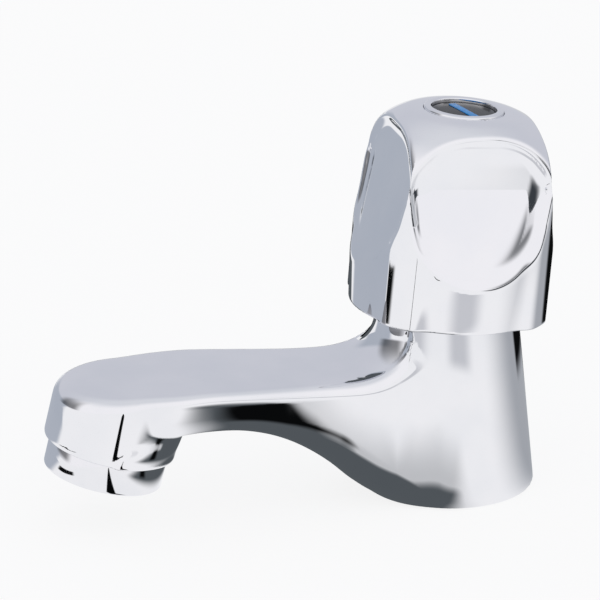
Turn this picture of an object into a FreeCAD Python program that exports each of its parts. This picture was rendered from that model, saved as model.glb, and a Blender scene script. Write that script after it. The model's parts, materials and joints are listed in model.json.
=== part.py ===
# A pillar basin tap: cast body with a flat spout, tilted screw-down headwork and a four-sided knob.
# All sizes are in millimetres. +Z is up, the spout points along -Y, and z = 0 is the top of the basin.
import FreeCAD, Part
import math
import os
import re

import Sketcher

Vector = FreeCAD.Vector
Rotation = FreeCAD.Rotation
Placement = FreeCAD.Placement

# Driving dimensions, one spreadsheet cell each
SIZES = {
    # Headwork axis: how far it leans back, and where it meets the basin top in front of the tail
    "lean": 4.5,
    "axis_forward": 5.8,
    # Base and column of the casting
    "base_half_width": 21.3,
    "base_front": 22.0,
    "base_back": 25.3,
    "column_level": 58.0,
    "column_radius": 20.0,
    # Spout: its top rises a little towards the tip and sweeps up into the column
    "spout_top": 40.0,
    "tip_rise": 1.9,
    "sweep_radius": 12.5,
    "sweep_half_width": 15.0,
    "sweep_sink": 0.25,
    "spout_corner": 3.0,
    "spout_keel": 7.0,
    "keel_half_width": 15.0,
    "waist_half_width": 17.3,
    "tip_half_width": 20.6,
    "arch_level": 27.6,
    "foot_level": 0.8,
    "foot_round": 1.5,
    "foot_run": 9.5,
    "root_overlap": 13.5,
    "heel_setback": 27.4,
    "end_setback": 6.5,
    "spout_reach": 101.5,
    "nozzle_lean": 14.0,
    "nozzle_radius": 18.6,
    "nozzle_fillet": 6.0,
    "heel_sink": 0.2,
    "heel_inset": 3.0,
    "outlet_level": 14.0,
    "collar_drop": 8.3,
    # Waterways
    "inlet_bore": 6.5,
    "inlet_depth": 20.0,
    "passage_bore": 5.0,
    "passage_level": 33.0,
    "nozzle_bore": 11.0,
    "nozzle_bore_depth": 21.0,
    # Threaded tail
    "tail_radius": 10.48,
    "tail_length": 50.0,
    "deck_gap": 14.0,
    "fit_gap": 0.1,
    "running_gap": 0.05,
    "edge_break": 0.5,
    # Valve seat and chamber
    "chamber_floor": 26.0,
    "seat_radius": 7.6,
    "seat_bore": 5.0,
    "seat_depth": 4.0,
    "seat_rise": 1.5,
    "seat_lip": 0.6,
    "chamber_step": 1.0,
    # Headwork
    "headwork_radius": 10.4,
    "bonnet_reach": 20.0,
    "gasket_width": 2.6,
    "gasket_thickness": 1.2,
    "hexagon_corner": 13.8,
    "hexagon_thickness": 6.0,
    "gland_radius": 8.5,
    "gland_thickness": 7.0,
    "shoulder_drop": 1.0,
    # Spindle
    "spindle_radius": 4.0,
    "spindle_reach": 19.5,
    "spindle_top": 92.0,
    "collar_radius": 6.7,
    "collar_thickness": 2.6,
    "thrust_thickness": 0.4,
    "ring_wire": 0.5,
    "ring_groove": 1.8,
    "ring_pitch": 4.0,
    "clip_thickness": 0.9,
    "clip_radius": 6.2,
    "clip_depth": 0.6,
    "clip_mouth": 5.8,
    # Plunger and its washer
    "plunger_corner": 7.9,
    "plunger_length": 16.5,
    "plunger_floor": 2.0,
    "carrier_thickness": 1.5,
    "jumper_radius": 7.4,
    "jumper_thickness": 2.5,
    "jumper_screw_radius": 1.5,
    "jumper_screw_length": 5.6,
    "jumper_head_radius": 2.9,
    "jumper_head_thickness": 1.6,
    # Knob
    "rim_level": 55.4,
    "knob_radius": 30.6,
    "knob_shoulder": 36.0,
    "knob_height": 57.2,
    "crown_radius": 13.0,
    "crown_rise": 0.4,
    "knob_taper": 0.3,
    "rib_width": 7.8,
    "rib_slant": 45.0,
    "rib_rise": 1.8,
    "skirt_inset": 3.0,
    "skirt_height": 23.0,
    "scoop_width": 36.0,
    "scoop_bottom": 13.6,
    "scoop_top": 55.4,
    "scoop_corner": 17.2,
    "scoop_sweep": 78.0,
    "scoop_depth_low": 29.2,
    "scoop_depth_high": 19.3,
    "scoop_round": 2.5,
    "knob_wall": 2.8,
    "knob_cavity_depth": 34.0,
    "boss_radius": 9.5,
    "boss_drop": 16.0,
    # Knob fixings
    "insert_corner": 7.4,
    "insert_length": 16.0,
    "insert_web": 2.0,
    "screw_radius": 2.0,
    "screw_length": 14.0,
    "screw_head_radius": 4.4,
    "screw_head_thickness": 2.8,
    "screw_head_gap": 0.8,
    "screw_washer_thickness": 0.8,
    "land_thickness": 1.6,
    # Index button
    "recess_radius": 11.3,
    "recess_depth": 6.2,
    "bezel_width": 2.0,
    "bezel_floor": 1.6,
    "bezel_rise": 0.6,
    "disc_thickness": 3.6,
    "disc_rise": 0.3,
    "mark_length": 10.0,
    "mark_width": 1.5,
    "mark_thickness": 0.25,
    # Aerator
    "collar_radius_out": 16.8,
    "collar_bore": 12.6,
    "collar_neck_radius": 14.2,
    "collar_neck_length": 5.7,
    "collar_chamfer": 0.8,
    "cartridge_wall": 1.2,
    "cartridge_length": 8.5,
    "cartridge_inset": 1.4,
    "cartridge_cap": 1.2,
    "jet_radius": 0.75,
    "jet_circle": 7.0,
    "jet_count": 8,
    "screen_thickness": 0.5,
    "screen_pitch": 1.92,
    "screen_bar": 0.72,
    "screen_spacing": 1.5,
    "grid_thickness": 2.4,
    "grid_pitch": 3.4,
    "grid_bar": 0.6,
    "aerator_washer_thickness": 1.6,
    # Fixing under the basin
    "seal_inner": 14.0,
    "seal_width": 3.6,
    "seal_thickness": 1.6,
    "deck_washer_radius": 19.0,
    "deck_washer_thickness": 2.4,
    "thrust_plate_thickness": 1.4,
    "backnut_corner": 18.5,
    "backnut_thickness": 8.0,
    "backnut_flange": 2.0,
}

doc = FreeCAD.newDocument("basin_tap")
sheet = doc.addObject("Spreadsheet::Sheet", "sizes")
for row, (alias, value) in enumerate(SIZES.items(), start=1):
    sheet.set(f"A{row}", alias)
    sheet.set(f"B{row}", str(value))
    sheet.setAlias(f"B{row}", alias)
doc.recompute()


def bound(text):
    """Names of sizes in a formula become references to the sheet."""
    return re.sub(r"[a-z_]{2,}", r"sizes.\g<0>", text)


def size(text):
    """The present value of a formula of sizes."""
    return float(sheet.evalExpression(bound(text)))


# Formulas for levels along the headwork axis, measured from the basin top
SEAT_TOP = "(chamber_floor + seat_rise)"
JUMPER_TOP = f"({SEAT_TOP} + jumper_thickness)"
PLUNGER_BASE = f"({JUMPER_TOP} + carrier_thickness)"
FLANGE_BASE = "(column_level + gasket_thickness)"
FLANGE_TOP = f"({FLANGE_BASE} + hexagon_thickness)"
GLAND_TOP = f"({FLANGE_TOP} + gland_thickness)"
SHOULDER = "(column_level - shoulder_drop)"
COLLAR_TOP = f"({SHOULDER} - thrust_thickness - running_gap)"
COLLAR_BASE = f"({COLLAR_TOP} - collar_thickness)"
RING_LOW = f"({FLANGE_TOP} - ring_pitch)"
CLIP_BASE = f"({GLAND_TOP} + thrust_thickness)"
INSERT_TOP = "(spindle_top + insert_web)"
LAND_TOP = f"({INSERT_TOP} + land_thickness)"
SCREW_SEAT = f"({LAND_TOP} + screw_washer_thickness)"
BEZEL_BASE = "(rim_level + knob_height - recess_depth)"
DISC_BASE = f"({BEZEL_BASE} + bezel_floor)"
DISC_TOP = f"({DISC_BASE} + disc_thickness)"
DISC_FACE = f"({DISC_TOP} + disc_rise)"
BEZEL_TOP = "(rim_level + knob_height + bezel_rise)"
DISC_RADIUS = "(recess_radius - fit_gap - bezel_width)"
# Levels along the nozzle axis, measured up from the lower edge of the collar
COLLAR_NECK_TOP = "(collar_drop + collar_neck_length)"
CARTRIDGE_TOP = "(cartridge_inset + cartridge_length)"
CARTRIDGE_BORE = "(collar_bore - running_gap - cartridge_wall)"

UPRIGHT = Placement()


def headwork_frame():
    """Frame of everything on the headwork axis, which leans back by the lean angle."""
    return Placement(Vector(0, -size("axis_forward"), 0), Rotation(Vector(1, 0, 0), -size("lean")))


def nozzle_frame():
    """Frame of the nozzle and the aerator, whose lower end leans forward."""
    base = Vector(0, -size("spout_reach"), size("outlet_level"))
    return Placement(base, Rotation(Vector(1, 0, 0), -size("nozzle_lean")))


nodes = []


def node(item, label, frame=UPRIGHT):
    """Gives a finished piece its name and its place."""
    item.Label = label
    item.Placement = frame
    nodes.append(item)
    return item


def plane(body, role):
    return next(f for f in body.Origin.OriginFeatures if f.Role == role)


def turned(name, profile):
    """A body of revolution about Z from (radius, level) corners, each bound to the sheet."""
    body = doc.addObject("PartDesign::Body", name)
    sketch = body.newObject("Sketcher::SketchObject", name + "_profile")
    sketch.AttachmentSupport = [(plane(body, "XZ_Plane"), "")]
    sketch.MapMode = "FlatFace"
    points = [Vector(size(r), size(z), 0) for r, z in profile]
    count = len(points)
    for i in range(count):
        sketch.addGeometry(Part.LineSegment(points[i], points[(i + 1) % count]), False)
    for i in range(count):
        sketch.addConstraint(Sketcher.Constraint("Coincident", i, 2, (i + 1) % count, 1))
    for i, (r, z) in enumerate(profile):
        if r == "0":
            sketch.addConstraint(Sketcher.Constraint("PointOnObject", i, 1, -2))
        else:
            at = sketch.addConstraint(Sketcher.Constraint("DistanceX", -1, 1, i, 1, points[i].x))
            sketch.setExpression(f"Constraints[{at}]", bound(r))
        if z == "0":
            sketch.addConstraint(Sketcher.Constraint("PointOnObject", i, 1, -1))
        else:
            at = sketch.addConstraint(Sketcher.Constraint("DistanceY", -1, 1, i, 1, points[i].y))
            sketch.setExpression(f"Constraints[{at}]", bound(z))
    spin = body.newObject("PartDesign::Revolution", name + "_turned")
    spin.Profile = (sketch, [""])
    spin.ReferenceAxis = (sketch, ["V_Axis"])
    spin.Angle = 360.0
    return body


def tube(name, inner, outer, bottom, top):
    """A plain ring or, with an inner radius of 0, a disc."""
    return turned(name, [(inner, bottom), (outer, bottom), (outer, top), (inner, top)])


def primitive(kind, name, level, **formulas):
    """A Part primitive with every size and its level bound to the sheet."""
    item = doc.addObject(kind, name)
    for key, formula in formulas.items():
        item.setExpression(key, bound(formula))
    item.setExpression("Placement.Base.z", bound(level))
    return item


def cylinder(name, radius, height, level):
    return primitive("Part::Cylinder", name, level, Radius=radius, Height=height)


def hexagon(name, corner, height, level):
    item = primitive("Part::Prism", name, level, Circumradius=corner, Height=height)
    item.Polygon = 6
    return item


def fuse(name, items):
    joined = doc.addObject("Part::MultiFuse", name)
    joined.Shapes = items
    joined.Refine = True
    return joined


def cut(name, base, tool):
    result = doc.addObject("Part::Cut", name)
    result.Base = base
    result.Tool = tool
    return result


def shaped(name, shape):
    """A piece whose shape is worked out below from the sheet's values."""
    feature = doc.addObject("Part::Feature", name)
    feature.Shape = shape
    return feature


# Cast body: spout, column, nozzle and threaded tail in one casting
def spout_stations():
    """Stations along the spout: distance forward, top and keel half widths, underside, keel round and top."""
    root = size("base_half_width + foot_run")
    buried = size("base_half_width - root_overlap")
    heel = size("spout_reach - heel_setback")
    end = size("spout_reach - end_setback")
    tip = size("tip_half_width")
    waist = size("waist_half_width")
    slim = size("keel_half_width")
    arch = size("arch_level")
    foot = size("foot_level")
    keel = size("spout_keel")
    wide_keel = keel + 1
    top = size("spout_top")
    rise = size("tip_rise")
    span = heel - root
    drop = arch - foot
    return [
        (end, tip - 1.0, slim, arch - 1.2, keel, top + rise),
        ((heel + end) / 2, tip, slim, arch - 0.4, keel, top + rise),
        (heel, tip - 0.2, slim, arch, keel, top + rise),
        (root + 0.72 * span, tip - 1.2, slim, arch - 0.05 * drop, keel, top + 0.65 * rise),
        (root + 0.48 * span, tip - 2.2, slim, arch - 0.18 * drop, wide_keel, top + 0.3 * rise),
        (root + 0.3 * span, waist + 0.4, slim, arch - 0.37 * drop, wide_keel, top + 0.1 * rise),
        (root + 0.14 * span, waist, slim + 0.5, arch - 0.58 * drop, wide_keel, top),
        (root, waist, waist - 1.0, arch - 0.78 * drop, wide_keel, top),
        (root - 0.14 * span, waist, waist - 0.2, foot + 0.067 * drop, wide_keel, top),
        (root - 0.3 * span, waist, waist, foot, wide_keel, top),
        (buried, waist - 2.0, waist - 2.0, foot, wide_keel, top),
    ]


def rounded_section(forward, half_top, half_keel, keel_level, keel_round, top):
    """One cross-section of the spout: a flat top, leaning sides and a rounded keel."""
    corner = size("spout_corner")
    corners = [(-half_top, top), (half_top, top), (half_keel, keel_level), (-half_keel, keel_level)]
    rounds = [corner, corner, keel_round, keel_round]
    points = [Vector(x, -forward, z) for x, z in corners]
    arcs = []
    for i, here in enumerate(points):
        back = (points[i - 1] - here).normalize()
        ahead = (points[(i + 1) % len(points)] - here).normalize()
        half_angle = back.getAngle(ahead) / 2
        run = rounds[i] / math.tan(half_angle)
        inward = (back + ahead).normalize()
        middle = here + inward * (rounds[i] / math.sin(half_angle) - rounds[i])
        arcs.append((here + back * run, middle, here + ahead * run))
    edges = []
    for i, (start, middle, end) in enumerate(arcs):
        edges.append(Part.Arc(start, middle, end).toShape())
        edges.append(Part.LineSegment(end, arcs[(i + 1) % len(arcs)][0]).toShape())
    return Part.Wire(edges)


def column_shape():
    """The column: an oval foot with a rounded lower edge, drawn up to a round, tilted top."""
    front = size("base_front")
    back = size("base_back")
    half_length = (front + back) / 2
    half_width = size("base_half_width")
    foot_centre = Vector(0, (back - front) / 2, 0)
    ends = [(half_length, Vector(0, half_length, 0)), (half_width, Vector(half_width, 0, 0))]
    (_, long_end), (_, short_end) = sorted(ends, key=lambda end: -end[0])
    foot = Part.Ellipse(foot_centre + long_end, foot_centre + short_end, foot_centre)
    frame = headwork_frame()
    radius = size("column_radius")
    centre = frame.multVec(Vector(0, 0, size("column_level")))
    back_point = frame.multVec(Vector(0, radius + 0.01, size("column_level")))
    head = Part.Ellipse(back_point, centre + Vector(radius, 0, 0), centre)
    column = Part.makeLoft([Part.Wire([foot.toShape()]), Part.Wire([head.toShape()])], True, True)
    lower_edge = [e for e in column.Edges if e.BoundBox.ZMax < size("foot_round")]
    return column.makeFillet(size("foot_round"), lower_edge)


def along(frame, radius, low, high):
    """A cylinder on the Z axis of a frame, between two levels."""
    rod = Part.makeCylinder(radius, high - low, Vector(0, 0, low))
    rod.Placement = frame
    return rod


def sweep_shape():
    """The hollow curve by which the top of the spout runs up into the column, set in a little."""
    top = size("spout_top") - size("sweep_sink")
    radius = size("sweep_radius")
    wall = size("column_radius") - 0.5
    sunk = top - 2
    start = Vector(wall + radius, 0, top)
    end = Vector(wall, 0, top + radius)
    share = 1 - math.sqrt(0.5)
    middle = Vector(wall + radius * share, 0, top + radius * share)
    outline = [
        Part.Arc(start, middle, end).toShape(),
        Part.LineSegment(end, Vector(1, 0, top + radius)).toShape(),
        Part.LineSegment(Vector(1, 0, top + radius), Vector(1, 0, sunk)).toShape(),
        Part.LineSegment(Vector(1, 0, sunk), Vector(wall + radius, 0, sunk)).toShape(),
        Part.LineSegment(Vector(wall + radius, 0, sunk), start).toShape(),
    ]
    ring = Part.Face(Part.Wire(outline)).revolve(Vector(0, 0, 0), Vector(0, 0, 1), 360)
    lean = math.tan(math.radians(size("lean")))
    ring.translate(Vector(0, -size("axis_forward") + lean * (top + radius / 2), 0))
    width = size("sweep_half_width")
    reach = size("spout_reach")
    front = Part.makeBox(2 * width, reach, reach, Vector(-width, -reach, 0))
    return ring.common(front)


def heel_shape():
    """The hollow curve between the back of the nozzle and the underside of the spout, set in a little."""
    radius = size("nozzle_radius")
    hollow = size("nozzle_fillet")
    lean = math.radians(size("nozzle_lean"))
    arch = size("arch_level")
    rise = (arch + size("heel_sink") - size("outlet_level")) / math.cos(lean)
    corner = Vector(radius, 0, rise + radius * math.tan(lean))
    run = hollow / math.tan(math.pi / 4 + lean / 2)
    start = corner - Vector(0, 0, run)
    end = corner + Vector(run * math.cos(lean), 0, run * math.sin(lean))
    centre = start + Vector(hollow, 0, 0)
    middle = centre + (corner - centre).normalize() * hollow
    inner = radius / 2
    roof = end.z + 2
    outline = [
        Part.Arc(start, middle, end).toShape(),
        Part.LineSegment(end, Vector(end.x, 0, roof)).toShape(),
        Part.LineSegment(Vector(end.x, 0, roof), Vector(inner, 0, roof)).toShape(),
        Part.LineSegment(Vector(inner, 0, roof), Vector(inner, 0, start.z)).toShape(),
        Part.LineSegment(Vector(inner, 0, start.z), start).toShape(),
    ]
    ring = Part.Face(Part.Wire(outline)).revolve(Vector(0, 0, 0), Vector(0, 0, 1), 360)
    ring.Placement = nozzle_frame()
    forward = size("spout_reach") - 2 * radius
    wall = rounded_section(forward, size("tip_half_width") - 1, size("keel_half_width") - size("heel_inset"),
                           arch - 1.2 * hollow, size("spout_keel"), size("spout_top") - 1)
    return ring.common(Part.Face(wall).extrude(Vector(0, -1.5 * radius, 0)))


def tap_body_shape():
    frame = headwork_frame()
    mouth = nozzle_frame()
    top = size("spout_top") + size("tip_rise")
    spout = Part.makeLoft([rounded_section(*s) for s in spout_stations()], True, False)
    nozzle = along(mouth, size("nozzle_radius"), size("collar_drop"), 2 * top)
    slab = 4 * size("spout_reach")
    above = Part.makeBox(slab, slab, slab, Vector(-slab / 2, -slab, top))
    shell = spout.fuse([nozzle.cut(above), column_shape(), sweep_shape(), heel_shape()]).removeSplitter()
    tail = Part.makeCylinder(size("tail_radius"), size("tail_length") + 1, Vector(0, 0, -size("tail_length")))
    shell = shell.fuse(tail)
    gap = size("fit_gap")
    bore = size("headwork_radius") + gap
    floor = size("chamber_floor")
    passage = Part.makeCylinder(size("passage_bore"), size("spout_reach") - size("nozzle_bore") / 2,
                                Vector(0, -size("axis_forward"), size("passage_level")), Vector(0, -1, 0))
    holes = [
        Part.makeCylinder(size("inlet_bore"), size("tail_length") + size("inlet_depth"),
                          Vector(0, 0, -size("tail_length"))),
        along(frame, bore, floor + size("seat_depth"), size("column_level") + 1),
        along(frame, bore - size("chamber_step"), floor, floor + size("seat_depth") + 1),
        along(frame, size("seat_radius"), floor - size("seat_depth"), floor + 1),
        along(frame, size("seat_bore") + size("edge_break"), size("inlet_depth") - 1, floor),
        passage,
        along(mouth, size("collar_neck_radius") + gap, size("collar_drop") - 1,
              size(COLLAR_NECK_TOP) + size("aerator_washer_thickness")),
        along(mouth, size("nozzle_bore"), size(COLLAR_NECK_TOP), size("nozzle_bore_depth")),
        Part.makeCylinder(size("seal_inner") + size("seal_width"), size("seal_thickness")).cut(
            Part.makeCylinder(size("seal_inner"), size("seal_thickness"))),
    ]
    for hole in holes:
        shell = shell.cut(hole)
    return shell


node(shaped("body_casting", tap_body_shape()), "tap_body")

# Valve seat, pressed into the chamber floor
valve_seat = turned("seat", [
    ("seat_bore", "chamber_floor - seat_depth"),
    ("seat_radius", "chamber_floor - seat_depth"),
    ("seat_radius", "chamber_floor"),
    ("seat_radius - seat_lip", "chamber_floor"),
    ("seat_bore + 2 * seat_lip", SEAT_TOP),
    ("seat_bore + seat_lip", SEAT_TOP),
    ("seat_bore", f"{SEAT_TOP} - seat_lip"),
])
node(valve_seat, "valve_seat", headwork_frame())

# Headwork bonnet: threaded barrel, hexagon and gland, bored for the spindle and the plunger
bonnet_blank = fuse("bonnet_blank", [
    cylinder("bonnet_barrel", "headwork_radius", "bonnet_reach + gasket_thickness",
             "column_level - bonnet_reach"),
    hexagon("bonnet_hexagon", "hexagon_corner", "hexagon_thickness", FLANGE_BASE),
    cylinder("bonnet_gland", "gland_radius", "gland_thickness", FLANGE_TOP),
])
bonnet_bores = fuse("bonnet_bores", [
    hexagon("plunger_bore", "plunger_corner + 2 * running_gap", "bonnet_reach - shoulder_drop",
            "column_level - bonnet_reach"),
    cylinder("spindle_bore", "spindle_radius + running_gap", f"{GLAND_TOP} - {SHOULDER}", SHOULDER),
])
node(cut("bonnet", bonnet_blank, bonnet_bores), "headwork_bonnet", headwork_frame())

# Fibre gasket under the bonnet's hexagon
gasket = tube("gasket", "headwork_radius + 2 * fit_gap", "headwork_radius + gasket_width",
              "column_level", FLANGE_BASE)
node(gasket, "bonnet_gasket", headwork_frame())

# Spindle: threaded foot, thrust collar, two ring grooves, clip groove and tapped top
groove_floor = "spindle_radius - 2 * ring_wire"
clip_floor = "spindle_radius - clip_depth"
spindle = turned("spindle_bar", [
    ("0", "column_level - spindle_reach"),
    ("spindle_radius - running_gap", "column_level - spindle_reach"),
    ("spindle_radius - running_gap", COLLAR_BASE),
    ("collar_radius", COLLAR_BASE),
    ("collar_radius", COLLAR_TOP),
    ("spindle_radius", COLLAR_TOP),
    ("spindle_radius", RING_LOW),
    (groove_floor, RING_LOW),
    (groove_floor, f"{RING_LOW} + ring_groove"),
    ("spindle_radius", f"{RING_LOW} + ring_groove"),
    ("spindle_radius", f"{RING_LOW} + ring_pitch"),
    (groove_floor, f"{RING_LOW} + ring_pitch"),
    (groove_floor, f"{RING_LOW} + ring_pitch + ring_groove"),
    ("spindle_radius", f"{RING_LOW} + ring_pitch + ring_groove"),
    ("spindle_radius", CLIP_BASE),
    (clip_floor, CLIP_BASE),
    (clip_floor, f"{CLIP_BASE} + clip_thickness"),
    ("spindle_radius", f"{CLIP_BASE} + clip_thickness"),
    ("spindle_radius", "spindle_top"),
    ("screw_radius + fit_gap", "spindle_top"),
    ("screw_radius + fit_gap", "spindle_top - screw_length"),
    ("0", "spindle_top - screw_length"),
])
node(spindle, "spindle", headwork_frame())

# Two rubber rings that seal the spindle in the gland
rings = []
for step in range(2):
    ring = primitive("Part::Torus", f"ring_{step}", f"{RING_LOW} + ring_groove / 2 + {step} * ring_pitch",
                     Radius1="spindle_radius - ring_wire", Radius2="ring_wire")
    rings.append(ring)
node(fuse("rings", rings), "spindle_o_rings", headwork_frame())

# Slippery washer between the spindle's collar and the bonnet
thrust = tube("thrust", "spindle_radius + fit_gap", "collar_radius - fit_gap",
              COLLAR_TOP, f"{COLLAR_TOP} + thrust_thickness")
node(thrust, "thrust_washer", headwork_frame())

# Open spring clip that keeps the spindle from dropping through
clip_slot = primitive("Part::Box", "clip_slot", CLIP_BASE, Length="clip_radius + 1", Width="clip_mouth",
                      Height="clip_thickness")
clip_slot.setExpression("Placement.Base.y", bound("0 - clip_mouth / 2"))
clip_ring = tube("clip_ring", clip_floor, "clip_radius", CLIP_BASE, f"{CLIP_BASE} + clip_thickness")
node(cut("clip", clip_ring, clip_slot), "spindle_circlip", headwork_frame())

# Plunger: a hexagonal nut that the spindle's thread lifts, with a disc that carries the washer
plunger_blank = fuse("plunger_blank", [
    hexagon("plunger_nut", "plunger_corner", "plunger_length", PLUNGER_BASE),
    cylinder("plunger_disc", "seat_radius", "carrier_thickness", JUMPER_TOP),
])
plunger_bores = fuse("plunger_bores", [
    cylinder("plunger_thread", "spindle_radius + running_gap", "plunger_length",
             f"{PLUNGER_BASE} + plunger_floor"),
    cylinder("plunger_pilot", "jumper_screw_radius", "carrier_thickness + plunger_floor + 1", JUMPER_TOP),
])
node(cut("plunger_piece", plunger_blank, plunger_bores), "plunger", headwork_frame())

# Rubber washer that closes on the seat, and the screw that holds it
jumper = tube("jumper", "jumper_screw_radius + fit_gap", "jumper_radius", SEAT_TOP, JUMPER_TOP)
node(jumper, "jumper_washer", headwork_frame())
washer_screw = turned("jumper_screw", [
    ("0", f"{SEAT_TOP} - jumper_head_thickness"),
    ("jumper_head_radius - edge_break", f"{SEAT_TOP} - jumper_head_thickness"),
    ("jumper_head_radius", f"{SEAT_TOP} - edge_break"),
    ("jumper_head_radius", SEAT_TOP),
    ("jumper_screw_radius", SEAT_TOP),
    ("jumper_screw_radius", f"{SEAT_TOP} + jumper_screw_length"),
    ("0", f"{SEAT_TOP} + jumper_screw_length"),
])
node(washer_screw, "washer_screw", headwork_frame())


# Knob shell: a domed round with a thumb scoop on each side and four ribs left standing between them
def dome():
    """Solid of revolution of the knob's outline."""
    radius = size("knob_radius")
    shoulder = size("knob_shoulder")
    height = size("knob_height")
    crown = size("crown_radius")
    apex = height + size("crown_rise")
    side = radius - size("knob_taper")
    bulge = Vector(crown + (side - crown) * 0.74, 0, shoulder + (height - shoulder) * 0.635)
    outline = [
        Part.LineSegment(Vector(0, 0, 0), Vector(radius, 0, 0)).toShape(),
        Part.LineSegment(Vector(radius, 0, 0), Vector(side, 0, shoulder)).toShape(),
        Part.Arc(Vector(side, 0, shoulder), bulge, Vector(crown, 0, height)).toShape(),
        Part.LineSegment(Vector(crown, 0, height), Vector(0, 0, apex)).toShape(),
        Part.LineSegment(Vector(0, 0, apex), Vector(0, 0, 0)).toShape(),
    ]
    face = Part.Face(Part.Wire(outline))
    return face.revolve(Vector(0, 0, 0), Vector(0, 0, 1), 360)


def scoop(grow):
    """One thumb scoop as a cutting solid that faces +X, an oval with a dished floor, or grown by a wall."""
    low = size("scoop_bottom") - grow
    high = size("scoop_top") + grow
    width = size("scoop_width") + 2 * grow
    deep = 1.6 * size("knob_radius")
    block = Part.makeBox(deep, width, high - low, Vector(0, -width / 2, low))
    uprights = [e for e in block.Edges
                if abs(e.Vertexes[0].Point.x - e.Vertexes[1].Point.x) > deep / 2]
    block = block.makeFillet(size("scoop_corner"), uprights)
    low_point = Vector(size("scoop_depth_low") - grow, 0, low)
    high_point = Vector(size("scoop_depth_high") - grow, 0, high)
    chord = high_point - low_point
    outward = Vector(chord.z, 0, -chord.x).normalize()
    sweep = size("scoop_sweep")
    drop = math.sqrt(sweep ** 2 - (chord.Length / 2) ** 2)
    centre = (low_point + high_point) / 2 + outward * drop
    wheel = Part.makeCylinder(sweep, 2 * width, centre - Vector(0, width, 0), Vector(0, 1, 0))
    tool = block.common(wheel)
    floor = [e for e in tool.Edges if 1 < e.CenterOfMass.x < low_point.x - 0.5]
    return tool.makeFillet(size("scoop_round"), floor)


def four_ways(tool, start):
    """Copies of a solid, a quarter turn apart round the knob's axis."""
    copies = []
    for quarter in range(4):
        copy = tool.copy()
        copy.rotate(Vector(0, 0, 0), Vector(0, 0, 1), start + 90 * quarter)
        copies.append(copy)
    return copies


def rib():
    """An upright bar along +X that spreads towards the axis, so that the ribs have slanting flanks."""
    radius = size("knob_radius")
    half = size("rib_width") / 2
    inset = size("skirt_inset") + 1
    spread = half + inset * math.tan(math.radians(size("rib_slant")))
    corners = [(0, -spread), (radius - inset, -spread), (radius, -half), (2 * radius, -half),
               (2 * radius, half), (radius, half), (radius - inset, spread), (0, spread), (0, -spread)]
    outline = Part.makePolygon([Vector(x, y, 0) for x, y in corners])
    return Part.Face(outline).extrude(Vector(0, 0, size("knob_height")))


def handle_shape():
    """The knob in its own frame, with its lower rim at z = 0."""
    radius = size("knob_radius")
    height = size("knob_height")
    skirt = size("skirt_height")
    inset = size("skirt_inset")
    wall = size("knob_wall")
    between = radius - size("rib_rise")
    kept = Part.makeCone(radius - inset, between, skirt)
    kept = kept.fuse(Part.makeCylinder(between, height, Vector(0, 0, skirt)))
    knob = dome().common(kept.fuse(four_ways(rib(), 45)))
    knob = knob.cut(four_ways(scoop(0), 0))
    cavity_top = size("knob_cavity_depth")
    cavity = Part.makeCylinder(radius - inset - wall, cavity_top).cut(four_ways(scoop(wall), 0))
    drop = size("boss_drop")
    boss = Part.makeCylinder(size("boss_radius"), drop + 1, Vector(0, 0, cavity_top - drop))
    hollow = cavity.cut(boss)
    rim = size("rim_level")
    socket = hex_solid(size("insert_corner"), 0, size(INSERT_TOP) - rim)
    land = size(LAND_TOP) - rim
    counterbore = size("screw_head_radius") + size("screw_head_gap")
    return knob.cut([
        hollow,
        socket,
        Part.makeCylinder(size("screw_radius") + size("fit_gap"), height),
        Part.makeCylinder(counterbore, height, Vector(0, 0, land)),
        Part.makeCylinder(size("recess_radius"), height, Vector(0, 0, height - size("recess_depth"))),
    ])


def hex_solid(corner, low, high):
    """An upright hexagonal prism between two levels."""
    points = [Vector(corner * math.cos(math.radians(60 * i)), corner * math.sin(math.radians(60 * i)), low)
              for i in range(7)]
    return Part.Face(Part.makePolygon(points)).extrude(Vector(0, 0, high - low))


knob_place = Placement(Vector(0, 0, size("rim_level")), Rotation())
node(shaped("knob", handle_shape()), "handle_shell", headwork_frame().multiply(knob_place))

# Splined insert that turns the spindle
insert_blank = hexagon("insert_blank", "insert_corner", "insert_length", f"{INSERT_TOP} - insert_length")
insert_bores = fuse("insert_bores", [
    cylinder("insert_socket", "spindle_radius + running_gap", "insert_length - insert_web",
             f"{INSERT_TOP} - insert_length"),
    cylinder("insert_hole", "screw_radius + fit_gap", "insert_length", f"{INSERT_TOP} - insert_length"),
])
node(cut("insert", insert_blank, insert_bores), "handle_insert", headwork_frame())

# Screw and washer that hold the knob down on the spindle
screw_washer = tube("screw_washer_ring", "screw_radius + fit_gap", "screw_head_radius + 2 * fit_gap",
                    LAND_TOP, SCREW_SEAT)
node(screw_washer, "screw_washer", headwork_frame())
screw_blank = fuse("screw_blank", [
    cylinder("screw_head", "screw_head_radius", "screw_head_thickness", SCREW_SEAT),
    cylinder("screw_shank", "screw_radius", "screw_length + edge_break", f"{SCREW_SEAT} - screw_length"),
])
slot_bars = []
for axis, (long_side, short_side) in enumerate((("Length", "Width"), ("Width", "Length"))):
    bar = doc.addObject("Part::Box", f"screw_slot_{axis}")
    bar.setExpression(long_side, bound("screw_head_radius + 1"))
    bar.setExpression(short_side, bound("screw_head_thickness / 3"))
    bar.setExpression("Height", bound("screw_head_thickness"))
    along_bar, across_bar = "xy"[axis], "yx"[axis]
    bar.setExpression(f"Placement.Base.{along_bar}", bound("0 - screw_head_radius / 2 - 0.5"))
    bar.setExpression(f"Placement.Base.{across_bar}", bound("0 - screw_head_thickness / 6"))
    bar.setExpression("Placement.Base.z", bound(f"{SCREW_SEAT} + screw_head_thickness / 2"))
    slot_bars.append(bar)
node(cut("screw", screw_blank, fuse("screw_cross", slot_bars)), "handle_screw", headwork_frame())

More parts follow.
